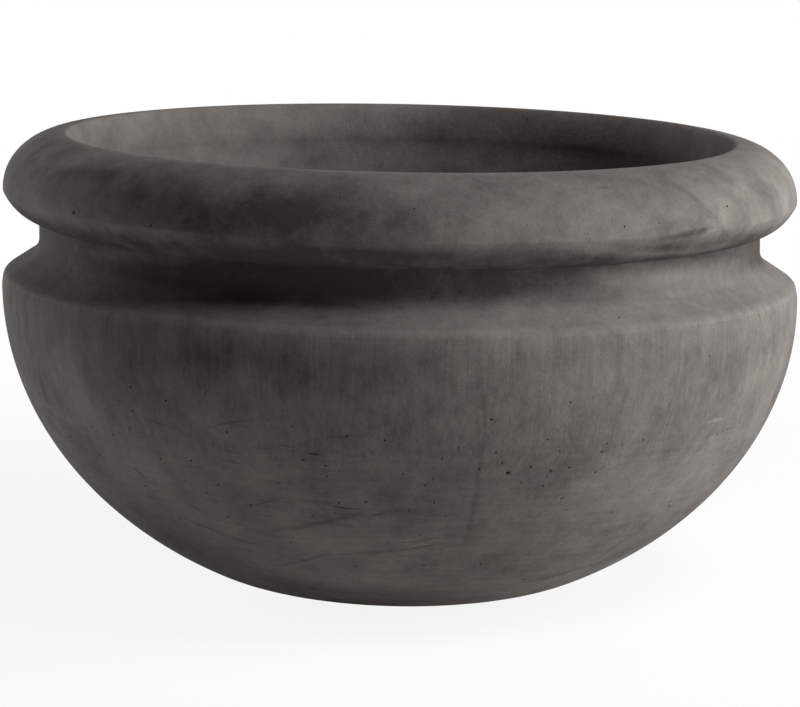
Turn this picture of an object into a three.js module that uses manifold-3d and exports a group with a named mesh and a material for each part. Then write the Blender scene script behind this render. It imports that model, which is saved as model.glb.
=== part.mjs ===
// A cast concrete bowl planter: a rounded belly on a small flat foot, a coved neck under a heavy
// rolled rim, an open inside, and a drain in the middle of the floor. The casting holds a drain
// sleeve and a cage of steel bars: ribs that follow the wall from the drain to the rim, with hoops
// tied round the outside of them.
// Millimetres, +Z up, origin at the centre of the foot's underside.

import * as THREE from 'three';
import { mergeVertices } from 'three/addons/utils/BufferGeometryUtils.js';
import Module from 'manifold-3d';

// ---------- driving dimensions ----------

// Outside, from the ground up. The heights stack up to the overall height.
const FOOT_DIAMETER = 276; // flat underside
const FOOT_ROUNDING = 66; // reach of the soft edge between the foot and the belly, each way
const BELLY_DIAMETER = 1067; // the widest part
const BELLY_HEIGHT = 398; // from the ground to the widest part
const SHOULDER_ROUND = 63; // radius of the slow turn above the widest part
const SHOULDER_TURN = 15; // degrees from upright, where that turn meets the ridge
const RIDGE_ROUND = 11; // radius of the ridge round the top of the belly
const SHOULDER_SLOPE = 33; // degrees from level, from the ridge in to the cove
const COVE_ROUND = 26; // radius of the concave turn into the neck
const NECK_DEPTH = 50.5; // how far the neck stands in from the belly
const NECK_HEIGHT = 27; // the upright band between the cove and the crease
const RIM_INSET = 4.2; // how far the rim's nose stands in from the belly
const RIM_UNDER = 41; // from the crease up to the nose
const CREASE_SLOPE = 10; // degrees from level, where the rim's underside leaves the crease
const ARRIS_SLOPE = 64; // degrees from level, where it reaches the arris under the nose
const NOSE_ROUND = 26; // radius of the nose, down to the arris
const NOSE_TURN = 8; // degrees that it turns in, down to the arris
const RIM_ROLL = 81.4; // from the nose in to the crest
const RIM_RISE = 72.5; // from the nose up to the crest

// Inside.
const WALL = 55; // belly wall
const NECK_WALL = 39; // wall behind the neck
const FLOOR_THICKNESS = 60;
const FLOOR_DIAMETER = 240; // flat part of the floor
const FLOOR_ROUNDING = 45; // reach of the turn from the floor into the wall, each way
const LIP_REACH = 9; // from the crest in to the lip
const LIP_DROP = 32; // from the crest down to the lip
const LIP_STEP = 40; // height of the slope from the lip back to the wall

// Drain sleeve: a stub of 1 1/2 inch plastic pipe.
const SLEEVE_DIAMETER = 48.3;
const SLEEVE_WALL = 3.7;
const SLEEVE_RECESS = 2; // from each face of the floor

// Reinforcing cage of 3/8 inch bar.
const BAR_DIAMETER = 9.5;
const RIB_COUNT = 8;
const RIM_COVER = 27; // concrete over the ribs' tips

// Gaps between separate pieces.
const FIT_GAP = 0.4; // concrete to whatever is cast into it
const TIE_GAP = 0.3; // rib to hoop where they cross

// Places of the hoops along a rib, in steps from its foot at the drain to its tip in the rim.
const RIB_STEPS = 16;
const HOOP_STEPS = {
  base_hoop: 2,
  lower_belly_hoop: 5,
  middle_belly_hoop: 8,
  upper_belly_hoop: 11,
  rim_hoop: 15,
};

// ---------- facets ----------

const CASTING_SEGMENTS = 56;
const SLEEVE_SEGMENTS = 32;
const HOOP_SEGMENTS = 4 * RIB_COUNT; // a corner of every hoop lies on each rib
const BAR_SIDES = 6;

// ---------- worked-out sizes ----------

const TURN = 2 * Math.PI;
const bellyRadius = BELLY_DIAMETER / 2;
const neckRadius = bellyRadius - NECK_DEPTH;
const innerNeckRadius = neckRadius - NECK_WALL;
const noseRadius = bellyRadius - RIM_INSET;
const crestRadius = noseRadius - RIM_ROLL;

// Shoulder and cove: the shoulder's arc, the ridge's arc, a straight slope and the cove's arc.
const slope = THREE.MathUtils.degToRad(SHOULDER_SLOPE);
const ridgeStart = THREE.MathUtils.degToRad(SHOULDER_TURN);
const ridgeCentre = new THREE.Vector2(
  bellyRadius - SHOULDER_ROUND + (SHOULDER_ROUND - RIDGE_ROUND) * Math.cos(ridgeStart),
  BELLY_HEIGHT + (SHOULDER_ROUND - RIDGE_ROUND) * Math.sin(ridgeStart),
);
const slopeStart = new THREE.Vector2(
  ridgeCentre.x + RIDGE_ROUND * Math.sin(slope),
  ridgeCentre.y + RIDGE_ROUND * Math.cos(slope),
);
const slopeEndRadius = neckRadius + COVE_ROUND * (1 - Math.sin(slope));
const slopeEndHeight = slopeStart.y + (slopeStart.x - slopeEndRadius) * Math.tan(slope);
const neckBottom = slopeEndHeight + COVE_ROUND * Math.cos(slope);

// Rim: its full underside is a curve from the crease to the arris, pulled out to where the two
// slopes at its ends meet.
const crease = new THREE.Vector2(neckRadius, neckBottom + NECK_HEIGHT);
const noseHeight = crease.y + RIM_UNDER;
const height = noseHeight + RIM_RISE;
const noseTurn = THREE.MathUtils.degToRad(NOSE_TURN);
const arris = new THREE.Vector2(
  noseRadius - NOSE_ROUND * (1 - Math.cos(noseTurn)),
  noseHeight - NOSE_ROUND * Math.sin(noseTurn),
);
const creaseRate = Math.tan(THREE.MathUtils.degToRad(CREASE_SLOPE));
const arrisRate = Math.tan(THREE.MathUtils.degToRad(ARRIS_SLOPE));
const underReach = (crease.y - arris.y + (arris.x - crease.x) * arrisRate) / (arrisRate - creaseRate);
const underPull = new THREE.Vector2(crease.x + underReach, crease.y + underReach * creaseRate);

const sleeveRadius = SLEEVE_DIAMETER / 2;
const boreRadius = sleeveRadius + FIT_GAP;
const barRadius = BAR_DIAMETER / 2;
const channelRadius = barRadius + FIT_GAP;
const ribTip = height - RIM_COVER;
const tieSpacing = BAR_DIAMETER + TIE_GAP; // between the centres of a rib and of the hoop round it

// ---------- outlines ----------

// A half section drawn as radius and height, curve by curve, with the facets that each curve gets.
class Outline {
  constructor(radius, level) {
    this.end = new THREE.Vector2(radius, level);
    this.points = [this.end];
    this.path = new THREE.CurvePath();
  }

  curve(curve, steps) {
    this.path.add(curve);
    this.points.push(...curve.getPoints(steps).slice(1));
    this.end = this.points.at(-1);
    return this;
  }

  line(radius, level) {
    return this.curve(new THREE.LineCurve(this.end, new THREE.Vector2(radius, level)), 1);
  }

  // Part of an ellipse, with its angles in radians from the outward level.
  arc(centreRadius, centreLevel, radiusAcross, radiusUp, start, end, steps) {
    const clockwise = end < start;
    return this.curve(
      new THREE.EllipseCurve(centreRadius, centreLevel, radiusAcross, radiusUp, start, end, clockwise),
      steps,
    );
  }

  // The bowl: from a level base at its rounded corner out to the widest part, upright there.
  bowl(widest, base, corner, rounding, steps) {
    const depth = (BELLY_HEIGHT - base) / Math.sqrt(1 - (corner / widest) ** 2);
    const start = -Math.acos((corner + rounding) / widest);
    const join = new THREE.Vector2(corner + rounding, BELLY_HEIGHT + depth * Math.sin(start));
    const steepness = (depth * Math.cos(start)) / (-widest * Math.sin(start));
    const pull = new THREE.Vector2(join.x - (join.y - base) / steepness, base);
    this.line(corner - rounding, base);
    this.curve(new THREE.QuadraticBezierCurve(this.end, pull, join), 4);
    return this.arc(0, BELLY_HEIGHT, widest, depth, start, 0, steps);
  }

  // A soft S from one upright line to another, from the widest part up to the neck.
  throat(radius, steps) {
    const middle = (this.end.y + neckBottom) / 2;
    const pulls = [new THREE.Vector2(this.end.x, middle), new THREE.Vector2(radius, middle)];
    const neck = new THREE.Vector2(radius, neckBottom);
    return this.curve(new THREE.CubicBezierCurve(this.end, ...pulls, neck), steps);
  }
}

const footCorner = FOOT_DIAMETER / 2 + FOOT_ROUNDING;
const floorCorner = FLOOR_DIAMETER / 2 + FLOOR_ROUNDING;

function castingOutline() {
  const outside = new Outline(boreRadius, 0)
    .bowl(bellyRadius, 0, footCorner, FOOT_ROUNDING, 9)
    .arc(bellyRadius - SHOULDER_ROUND, BELLY_HEIGHT, SHOULDER_ROUND, SHOULDER_ROUND, 0, ridgeStart, 2)
    .arc(ridgeCentre.x, ridgeCentre.y, RIDGE_ROUND, RIDGE_ROUND, ridgeStart, TURN / 4 - slope, 3)
    .line(slopeEndRadius, slopeEndHeight)
    .arc(neckRadius + COVE_ROUND, neckBottom, COVE_ROUND, COVE_ROUND, (TURN * 3) / 4 - slope, TURN / 2, 4)
    .line(crease.x, crease.y)
    .curve(new THREE.QuadraticBezierCurve(crease, underPull, arris), 5)
    .arc(noseRadius - NOSE_ROUND, noseHeight, NOSE_ROUND, NOSE_ROUND, -noseTurn, 0, 1)
    .arc(crestRadius, noseHeight, RIM_ROLL, RIM_RISE, 0, TURN / 4, 7);
  const inside = new Outline(boreRadius, FLOOR_THICKNESS)
    .bowl(bellyRadius - WALL, FLOOR_THICKNESS, floorCorner, FLOOR_ROUNDING, 7)
    .throat(innerNeckRadius, 4)
    .line(innerNeckRadius, height - LIP_DROP - LIP_STEP)
    .line(crestRadius - LIP_REACH, height - LIP_DROP)
    .arc(crestRadius, height - LIP_DROP, LIP_REACH, LIP_DROP, TURN / 2, TURN / 4, 3);
  const insideDown = inside.points.slice(0, -1).reverse();
  return [...outside.points, ...insideDown, outside.points[0]];
}

function sleeveOutline() {
  const bottom = SLEEVE_RECESS;
  const top = FLOOR_THICKNESS - SLEEVE_RECESS;
  const inner = sleeveRadius - SLEEVE_WALL;
  const outline = new Outline(inner, bottom)
    .line(sleeveRadius, bottom)
    .line(sleeveRadius, top)
    .line(inner, top)
    .line(inner, bottom);
  return outline.points;
}

// An outline stood up in the XZ plane, for a bar to follow.
class UprightLine extends THREE.Curve {
  constructor(path) {
    super();
    this.path = path;
  }

  getPoint(t, target = new THREE.Vector3()) {
    const { x, y } = this.path.getPoint(t);
    return target.set(x, 0, y);
  }
}

// The centre line of a rib. Together the rib and the hoops outside it stand mid-way through the wall.
function ribLine(footRadius, tipLevel) {
  const inwards = tieSpacing / 2;
  const widest = bellyRadius - WALL / 2 - inwards;
  const base = FLOOR_THICKNESS / 2 + inwards;
  const corner = (footCorner + floorCorner) / 2;
  const rounding = (FOOT_ROUNDING + FLOOR_ROUNDING) / 2;
  const midNeck = neckRadius - NECK_WALL / 2;
  const outline = new Outline(footRadius, base)
    .bowl(widest, base, corner, rounding, 12)
    .throat(midNeck, 4)
    .line(midNeck, tipLevel);
  return new UprightLine(outline.path);
}

// ---------- solids ----------

const wasm = await Module();
wasm.setup();

// Turns a closed outline about the upright axis.
function revolve(points, segments) {
  return new THREE.LatheGeometry(points, segments).rotateX(TURN / 4);
}

function toSolid(geometry) {
  const bare = geometry.clone();
  bare.deleteAttribute('normal');
  bare.deleteAttribute('uv');
  const merged = mergeVertices(bare);
  return new wasm.Manifold(
    new wasm.Mesh({
      numProp: 3,
      vertProperties: merged.attributes.position.array,
      triVerts: new Uint32Array(merged.index.array),
    }),
  );
}

function toGeometry(solid) {
  const { vertProperties, triVerts } = solid.getMesh();
  const geometry = new THREE.BufferGeometry();
  geometry.setAttribute('position', new THREE.BufferAttribute(vertProperties, 3));
  geometry.setIndex(new THREE.BufferAttribute(triVerts, 1));
  geometry.computeVertexNormals();
  return geometry;
}

function ribGeometry(radius, footRadius, tipLevel) {
  const section = new THREE.Shape().absarc(0, 0, radius, 0, TURN);
  return new THREE.ExtrudeGeometry(section, {
    steps: RIB_STEPS,
    curveSegments: BAR_SIDES / 2,
    extrudePath: ribLine(footRadius, tipLevel),
  });
}

// A hoop tied outside the ribs at one of their steps, with a corner of its section facing them.
function hoopGeometry(step, radius) {
  const line = ribLine(boreRadius, ribTip);
  const tied = line.getPointAt(step / RIB_STEPS);
  const along = line.getTangentAt(step / RIB_STEPS);
  const outward = new THREE.Vector2(along.z, -along.x);
  const centre = new THREE.Vector2(tied.x, tied.z).addScaledVector(outward, tieSpacing);
  const section = new THREE.EllipseCurve(centre.x, centre.y, radius, radius, 0, TURN, false, outward.angle());
  return revolve(section.getPoints(BAR_SIDES), HOOP_SEGMENTS);
}

const ribAngles = Array.from({ length: RIB_COUNT }, (_, index) => (index * TURN) / RIB_COUNT);
const hoopSteps = Object.entries(HOOP_STEPS);

// The casting with its bars' channels, which open into the bore behind the drain sleeve.
function castingGeometry() {
  const ribChannel = ribGeometry(channelRadius, sleeveRadius - SLEEVE_WALL / 2, ribTip + FIT_GAP);
  const channels = [
    ...ribAngles.map((angle) => ribChannel.clone().rotateZ(angle)),
    ...hoopSteps.map(([, step]) => hoopGeometry(step, channelRadius)),
  ];
  const plain = toSolid(revolve(castingOutline(), CASTING_SEGMENTS));
  return toGeometry(channels.reduce((solid, channel) => solid.subtract(toSolid(channel)), plain));
}

// ---------- materials ----------

const concrete = new THREE.MeshStandardMaterial({ color: 0x5b5754, roughness: 0.92, metalness: 0 });
const plasticPipe = new THREE.MeshStandardMaterial({ color: 0x8d9091, roughness: 0.5, metalness: 0 });
const millSteel = new THREE.MeshStandardMaterial({ color: 0x5a4a40, roughness: 0.7, metalness: 0.8 });

// ---------- assembly ----------

const planter = new THREE.Group();

function addPiece(parent, name, geometry, material) {
  const piece = new THREE.Mesh(geometry, material);
  piece.name = name;
  parent.add(piece);
  return piece;
}

addPiece(planter, 'planter_casting', castingGeometry(), concrete);
addPiece(planter, 'drain_sleeve', revolve(sleeveOutline(), SLEEVE_SEGMENTS), plasticPipe);

const cage = new THREE.Group();
planter.add(cage);
const rib = ribGeometry(barRadius, boreRadius, ribTip);
ribAngles.forEach((angle, index) => {
  addPiece(cage, `rib_bar_${index + 1}`, rib, millSteel).rotation.z = angle;
});
hoopSteps.forEach(([name, step]) => {
  addPiece(cage, name, hoopGeometry(step, barRadius), millSteel);
});

export default planter;
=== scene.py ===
"""Looks of a cast concrete bowl planter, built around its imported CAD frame.

The casting is charcoal-tinted concrete poured in a smooth mould: a rounded belly on a small flat
foot, a ridge round the shoulder, a coved neck and a heavy rolled rim. A plastic pipe stub lines its
drain, and steel bars lie inside its wall. Everything is in metres, +Z up, with the origin under the
middle of the foot.
"""

import logging
import math
import random
from dataclasses import dataclass, field
from enum import Enum
from typing import Iterator, Sequence

import bmesh
import bpy
from mathutils import Euler, Matrix, Vector, noise
from mathutils.bvhtree import BVHTree


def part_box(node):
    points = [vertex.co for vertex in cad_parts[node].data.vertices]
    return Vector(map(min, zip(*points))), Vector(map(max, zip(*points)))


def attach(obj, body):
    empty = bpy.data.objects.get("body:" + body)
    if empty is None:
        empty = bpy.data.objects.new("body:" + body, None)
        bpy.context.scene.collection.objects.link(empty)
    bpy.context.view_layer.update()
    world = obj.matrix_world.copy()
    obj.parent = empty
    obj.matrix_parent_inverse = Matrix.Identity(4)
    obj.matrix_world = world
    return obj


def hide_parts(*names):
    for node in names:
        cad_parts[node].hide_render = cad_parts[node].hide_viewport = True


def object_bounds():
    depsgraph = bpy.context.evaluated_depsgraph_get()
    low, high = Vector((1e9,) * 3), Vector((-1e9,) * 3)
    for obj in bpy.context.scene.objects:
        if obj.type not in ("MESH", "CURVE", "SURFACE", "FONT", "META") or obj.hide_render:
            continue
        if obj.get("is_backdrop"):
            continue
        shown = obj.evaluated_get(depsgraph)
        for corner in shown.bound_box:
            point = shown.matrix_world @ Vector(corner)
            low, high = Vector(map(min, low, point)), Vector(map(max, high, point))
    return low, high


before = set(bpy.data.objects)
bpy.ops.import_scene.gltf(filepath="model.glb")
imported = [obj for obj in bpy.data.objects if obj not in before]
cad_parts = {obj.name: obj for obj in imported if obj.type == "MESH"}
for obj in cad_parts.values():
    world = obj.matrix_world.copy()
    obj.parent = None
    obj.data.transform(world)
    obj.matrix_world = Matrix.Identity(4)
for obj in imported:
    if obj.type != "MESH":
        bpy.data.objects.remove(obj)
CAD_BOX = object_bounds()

log = logging.getLogger("planter")

MM = 0.001
SLEEVE_GAP = 0.4 * MM
FULL_TURN = 2 * math.pi
BODY = "root"
UP = Vector((0, 0, 1))
PIT_LAYER = "pit"


# ---------- colour and nodes ----------


def linear_channel(value: float) -> float:
    """Turns one sRGB channel, 0 to 1, to linear light."""
    return value / 12.92 if value <= 0.04045 else ((value + 0.055) / 1.055) ** 2.4


def colour(hex_code: str) -> tuple[float, float, float, float]:
    """Turns an sRGB hex colour to the linear RGBA that a shader socket takes.

    Args:
        hex_code: Six hex digits after a hash, such as "#5b5754".

    Returns:
        Linear red, green and blue, with an alpha of 1.
    """
    digits = hex_code.lstrip("#")
    red, green, blue = (linear_channel(int(digits[i : i + 2], 16) / 255) for i in (0, 2, 4))
    return red, green, blue, 1.0


def per_metre(size_mm: float) -> float:
    """Gives the texture scale at which a pattern's features are about size_mm across."""
    return 1.0 / (size_mm * MM)


class NodeSheet:
    """The node tree of one material or world, with the one helper that adds to it."""

    def __init__(self, owner: bpy.types.Material | bpy.types.World) -> None:
        """Starts with an empty tree."""
        owner.use_nodes = True
        self.owner = owner
        self.tree = owner.node_tree
        self.tree.nodes.clear()

    def add(self, kind: str, settings: dict | None = None, links: dict | None = None) -> bpy.types.Node:
        """Adds a node.

        Args:
            kind: The node's type, such as "ShaderNodeTexNoise".
            settings: Values of its properties, by name, or of its sockets, by name or number.
            links: The output socket that feeds each of its input sockets, by name or number.

        Returns:
            The new node.
        """
        node = self.tree.nodes.new(kind)
        for key, value in (settings or {}).items():
            if isinstance(key, str) and hasattr(node, key):
                setattr(node, key, value)
            else:
                node.inputs[key].default_value = value
        for key, source in (links or {}).items():
            self.tree.links.new(source, node.inputs[key])
        return node


# ---------- finishes ----------


@dataclass(frozen=True)
class Pattern:
    """One noise in a skin: its feature size in millimetres, its stretch, and its share of the tone."""

    size_mm: float
    share: float
    detail: float = 3.0
    stretch: tuple[float, float, float] = (1.0, 1.0, 1.0)
    turn: tuple[float, float, float] = (0.0, 0.0, 0.0)
    shift: float = 0.0
    low: float | None = None
    high: float | None = None
    fade: float = 0.05


@dataclass(frozen=True)
class Relief:
    """One unevenness of a skin: the size of its features and their depth, in millimetres."""

    size_mm: float
    depth_mm: float
    detail: float = 2.0


class Face(Enum):
    """The face of the wall that a zone lies on."""

    OUTER = "outer"
    INNER = "inner"


@dataclass(frozen=True)
class Zone:
    """A belt of the skin between two heights, in metres, and the tone that it adds: below 0 is darker."""

    face: Face
    low: float
    high: float
    below: float
    above: float
    tone: float


@dataclass(frozen=True)
class SkinMark:
    """A mark laid on the skin: its middle, its turn, its half sizes in metres, and its tone."""

    middle: Vector
    turn: Euler
    reach: Vector
    tone: float


@dataclass(frozen=True)
class CastConcrete:
    """Charcoal-tinted concrete, wet-cast against a smooth mould and left unsealed.

    The mould gives a closed, nearly smooth skin: a dull grey-brown with soft clouds where the
    pigment and water gathered, faint runs down from the shoulder, dry strokes from the trowel and
    the cleaning cloth low on the belly, and small round air holes. Sizes are in millimetres, and
    heights in metres. The grain is sand of about 0.5 mm, drawn at 2 mm so that it shows.
    """

    pale: str = "#7f7a76"
    deep: str = "#423e3c"
    # Near black in the air holes and pits: painted shade inside them.
    hole: str = "#1b1918"
    roughness: float = 0.82
    roughness_spread: float = 0.12
    gloss: float = 0.03
    noise_roughness: float = 0.55
    patterns: tuple[Pattern, ...] = (
        # Clouds, mottle, flecks and grain.
        Pattern(190.0, 0.40, 3.0, shift=3.1),
        Pattern(46.0, 0.30, 4.0, shift=7.7),
        Pattern(12.0, 0.18, 4.0, shift=1.9),
        Pattern(2.0, 0.20, 2.0, shift=5.3),
        # Fine and broad runs down from the shoulder.
        Pattern(5.0, 0.19, 2.0, stretch=(1, 1, 0.05), shift=9.2, low=0.27, high=0.415, fade=0.05),
        Pattern(24.0, 0.15, 2.0, stretch=(1, 1, 0.12), shift=4.9, low=0.24, high=0.415, fade=0.06),
        # Dry strokes round the lower belly, and veins in the rim.
        Pattern(5.0, 0.16, 2.0, (0.06, 0.06, 1), (0.05, 0.09, 0.0), 6.6, low=0.03, high=0.27, fade=0.05),
        Pattern(38.0, 0.36, 5.0, (0.7, 0.7, 1), (0.3, 0.4, 0.0), 15.0, low=0.50, high=0.60, fade=0.03),
    )
    reliefs: tuple[Relief, ...] = (Relief(2.2, 0.36), Relief(8.0, 0.60, 3.0), Relief(60.0, 0.50))
    zones: tuple[Zone, ...] = (
        # The groove under the rim: it stands in for shade that the lamps don't give.
        Zone(Face.OUTER, low=0.460, high=0.503, below=0.022, above=0.026, tone=-0.48),
        # The ridge, a little paler: partly rubbed skin and partly a painted highlight.
        Zone(Face.OUTER, low=0.414, high=0.421, below=0.003, above=0.004, tone=0.11),
        # The foot: it stands in for light that the floor throws back.
        Zone(Face.OUTER, low=-0.050, high=0.020, below=0.010, above=0.080, tone=0.32),
        # The inner face, a little paler: partly its own paler skin and partly painted light that the lamps
        # don't give inside the bowl.
        Zone(Face.INNER, low=0.400, high=0.640, below=0.020, above=0.020, tone=0.15),
    )
    inner_radius: float = 0.452
    outer_radius: float = 0.470
    inner_height: float = 0.40
    ragged_mm: float = 26.0
    ragged_reach_mm: float = 9.0
    air_hole_spacing_mm: float = 15.0
    air_hole_radius_mm: float = 1.5
    air_hole_least: float = 0.6
    air_hole_spread: float = 0.6
    air_hole_flat: float = 0.6
    few_holes: tuple[float, float] = (0.34, 0.06)
    many_holes: tuple[float, float] = (0.26, 0.38)

    def belt(
        self, sheet: NodeSheet, height: bpy.types.NodeSocket, ends: tuple[float, float, float, float]
    ) -> bpy.types.NodeSocket:
        """Gives a mask that is 1 between two heights.

        Args:
            sheet: The material's nodes.
            height: The height over the ground.
            ends: The heights where it starts, is whole, starts to fade and is gone, in metres.

        Returns:
            The mask.
        """
        start, whole, fading, gone = ends
        rising = sheet.add(
            "ShaderNodeMapRange",
            {"interpolation_type": "SMOOTHSTEP", 1: start, 2: whole},
            {0: height},
        ).outputs[0]
        ending = sheet.add(
            "ShaderNodeMapRange",
            {"interpolation_type": "SMOOTHSTEP", 1: gone, 2: fading},
            {0: height},
        ).outputs[0]
        return sheet.add("ShaderNodeMath", {"operation": "MULTIPLY"}, {0: rising, 1: ending}).outputs[0]

    def inner_face(
        self, sheet: NodeSheet, place: bpy.types.NodeSocket, height: bpy.types.NodeSocket
    ) -> bpy.types.NodeSocket:
        """Gives a mask that is 1 on the upper part of the inner face.

        Args:
            sheet: The material's nodes.
            place: The place on the piece.
            height: The height over the ground.

        Returns:
            The mask.
        """
        level = sheet.add("ShaderNodeMapping", {"Scale": (1, 1, 0)}, {"Vector": place}).outputs[0]
        radius = sheet.add("ShaderNodeVectorMath", {"operation": "LENGTH"}, {0: level}).outputs["Value"]
        near = sheet.add(
            "ShaderNodeMapRange",
            {"interpolation_type": "SMOOTHSTEP", 1: self.outer_radius, 2: self.inner_radius},
            {0: radius},
        ).outputs[0]
        above = sheet.add(
            "ShaderNodeMath", {"operation": "GREATER_THAN", 1: self.inner_height}, {0: height}
        ).outputs[0]
        return sheet.add("ShaderNodeMath", {"operation": "MULTIPLY"}, {0: near, 1: above}).outputs[0]

    def plain_tone(
        self, sheet: NodeSheet, place: bpy.types.NodeSocket, height: bpy.types.NodeSocket
    ) -> bpy.types.NodeSocket:
        """Adds up the skin's patterns and zones.

        Args:
            sheet: The material's nodes.
            place: The place on the piece.
            height: The height over the ground.

        Returns:
            The tone, about 0.5, where 0 is the deep colour and 1 the pale one.
        """
        tone = None
        for pattern in self.patterns:
            moved = sheet.add(
                "ShaderNodeMapping",
                {"Location": (pattern.shift,) * 3, "Rotation": pattern.turn, "Scale": pattern.stretch},
                {"Vector": place},
            ).outputs[0]
            grown = sheet.add(
                "ShaderNodeTexNoise",
                {
                    "Scale": per_metre(pattern.size_mm),
                    "Detail": pattern.detail,
                    "Roughness": self.noise_roughness,
                },
                {"Vector": moved},
            ).outputs[0]
            share = sheet.add(
                "ShaderNodeMath",
                {"operation": "MULTIPLY_ADD", 1: 2 * pattern.share, 2: -pattern.share},
                {0: grown},
            ).outputs[0]
            if pattern.low is not None:
                low, high, fade = pattern.low, pattern.high, pattern.fade
                here = self.belt(sheet, height, (low - fade, low, high, high + fade / 8))
                share = sheet.add(
                    "ShaderNodeMath", {"operation": "MULTIPLY"}, {0: share, 1: here}
                ).outputs[0]
            links = {0: share, 1: tone} if tone else {0: share}
            tone = sheet.add("ShaderNodeMath", {"operation": "ADD", 1: 0.5}, links).outputs[0]

        inner = self.inner_face(sheet, place, height)
        outer = sheet.add("ShaderNodeMath", {"operation": "SUBTRACT", 0: 1.0}, {1: inner}).outputs[0]
        for zone in self.zones:
            ends = (zone.low - zone.below, zone.low, zone.high, zone.high + zone.above)
            here = self.belt(sheet, height, ends)
            face = inner if zone.face is Face.INNER else outer
            there = sheet.add("ShaderNodeMath", {"operation": "MULTIPLY"}, {0: here, 1: face}).outputs[0]
            tone = sheet.add(
                "ShaderNodeMath", {"operation": "MULTIPLY_ADD", 1: zone.tone}, {0: there, 2: tone}
            ).outputs[0]
        return tone

    def marked_tone(
        self,
        sheet: NodeSheet,
        place: bpy.types.NodeSocket,
        tone: bpy.types.NodeSocket,
        marks: Sequence[SkinMark],
    ) -> bpy.types.NodeSocket:
        """Lays the marks over the plain tone, with ragged edges.

        Args:
            sheet: The material's nodes.
            place: The place on the piece.
            tone: The tone so far.
            marks: The marks that lie at known places of the skin.

        Returns:
            The tone with the marks.
        """
        ragged = sheet.add(
            "ShaderNodeTexNoise", {"Scale": per_metre(self.ragged_mm), "Detail": 4.0}, {"Vector": place}
        ).outputs[1]
        reach = self.ragged_reach_mm * MM
        torn = sheet.add(
            "ShaderNodeVectorMath",
            {"operation": "MULTIPLY_ADD", 1: (reach,) * 3, 2: (-reach / 2,) * 3},
            {0: ragged},
        ).outputs[0]
        strayed = sheet.add("ShaderNodeVectorMath", {"operation": "ADD"}, {0: place, 1: torn}).outputs[0]
        for mark in marks:
            local = sheet.add(
                "ShaderNodeMapping",
                {
                    "vector_type": "TEXTURE",
                    "Location": mark.middle,
                    "Rotation": mark.turn,
                    "Scale": mark.reach,
                },
                {"Vector": strayed},
            ).outputs[0]
            spot = sheet.add(
                "ShaderNodeTexGradient", {"gradient_type": "SPHERICAL"}, {0: local}
            ).outputs[1]
            tone = sheet.add(
                "ShaderNodeMath", {"operation": "MULTIPLY_ADD", 1: -mark.tone}, {0: spot, 2: tone}
            ).outputs[0]
        return tone

    def air_holes(
        self, sheet: NodeSheet, place: bpy.types.NodeSocket, height: bpy.types.NodeSocket
    ) -> bpy.types.NodeSocket:
        """Scatters small round air holes, most of them low on the belly.

        Args:
            sheet: The material's nodes.
            place: The place on the piece.
            height: The height over the ground.

        Returns:
            A mask that is 1 in the holes.
        """
        cells = sheet.add(
            "ShaderNodeTexVoronoi", {"Scale": per_metre(self.air_hole_spacing_mm)}, {"Vector": place}
        )
        lot = sheet.add("ShaderNodeSeparateXYZ", links={0: cells.outputs["Color"]})
        radius = self.air_hole_radius_mm / self.air_hole_spacing_mm
        few_height, few_share = self.few_holes
        many_height, many_share = self.many_holes
        fewer_above = sheet.add(
            "ShaderNodeMapRange",
            {1: few_height, 2: many_height, 3: few_share, 4: many_share},
            {0: height},
        ).outputs[0]
        chosen = sheet.add(
            "ShaderNodeMath", {"operation": "LESS_THAN"}, {0: lot.outputs[0], 1: fewer_above}
        ).outputs[0]
        size = sheet.add(
            "ShaderNodeMath",
            {
                "operation": "MULTIPLY_ADD",
                1: radius * self.air_hole_spread,
                2: radius * self.air_hole_least,
            },
            {0: lot.outputs[1]},
        ).outputs[0]
        nearness = sheet.add(
            "ShaderNodeMath", {"operation": "DIVIDE"}, {0: cells.outputs["Distance"], 1: size}
        ).outputs[0]
        within = sheet.add(
            "ShaderNodeMapRange",
            {"interpolation_type": "SMOOTHSTEP", 1: 1.0, 2: self.air_hole_flat},
            {0: nearness},
        ).outputs[0]
        return sheet.add("ShaderNodeMath", {"operation": "MULTIPLY"}, {0: within, 1: chosen}).outputs[0]

    def unevenness(
        self, sheet: NodeSheet, place: bpy.types.NodeSocket, holes: bpy.types.NodeSocket
    ) -> bpy.types.NodeSocket:
        """Gives the skin its relief, from the grain up to the mould's soft waves, and its pits.

        Args:
            sheet: The material's nodes.
            place: The place on the piece.
            holes: The mask of the air holes.

        Returns:
            The normal.
        """
        normal = None
        for relief in self.reliefs:
            grown = sheet.add(
                "ShaderNodeTexNoise",
                {"Scale": per_metre(relief.size_mm), "Detail": relief.detail},
                {"Vector": place},
            ).outputs[0]
            links = {"Height": grown, "Normal": normal} if normal else {"Height": grown}
            normal = sheet.add("ShaderNodeBump", {"Distance": relief.depth_mm * MM}, links).outputs[0]
        return sheet.add(
            "ShaderNodeBump",
            {"Distance": self.air_hole_radius_mm * MM, "invert": True},
            {"Height": holes, "Normal": normal},
        ).outputs[0]

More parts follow.
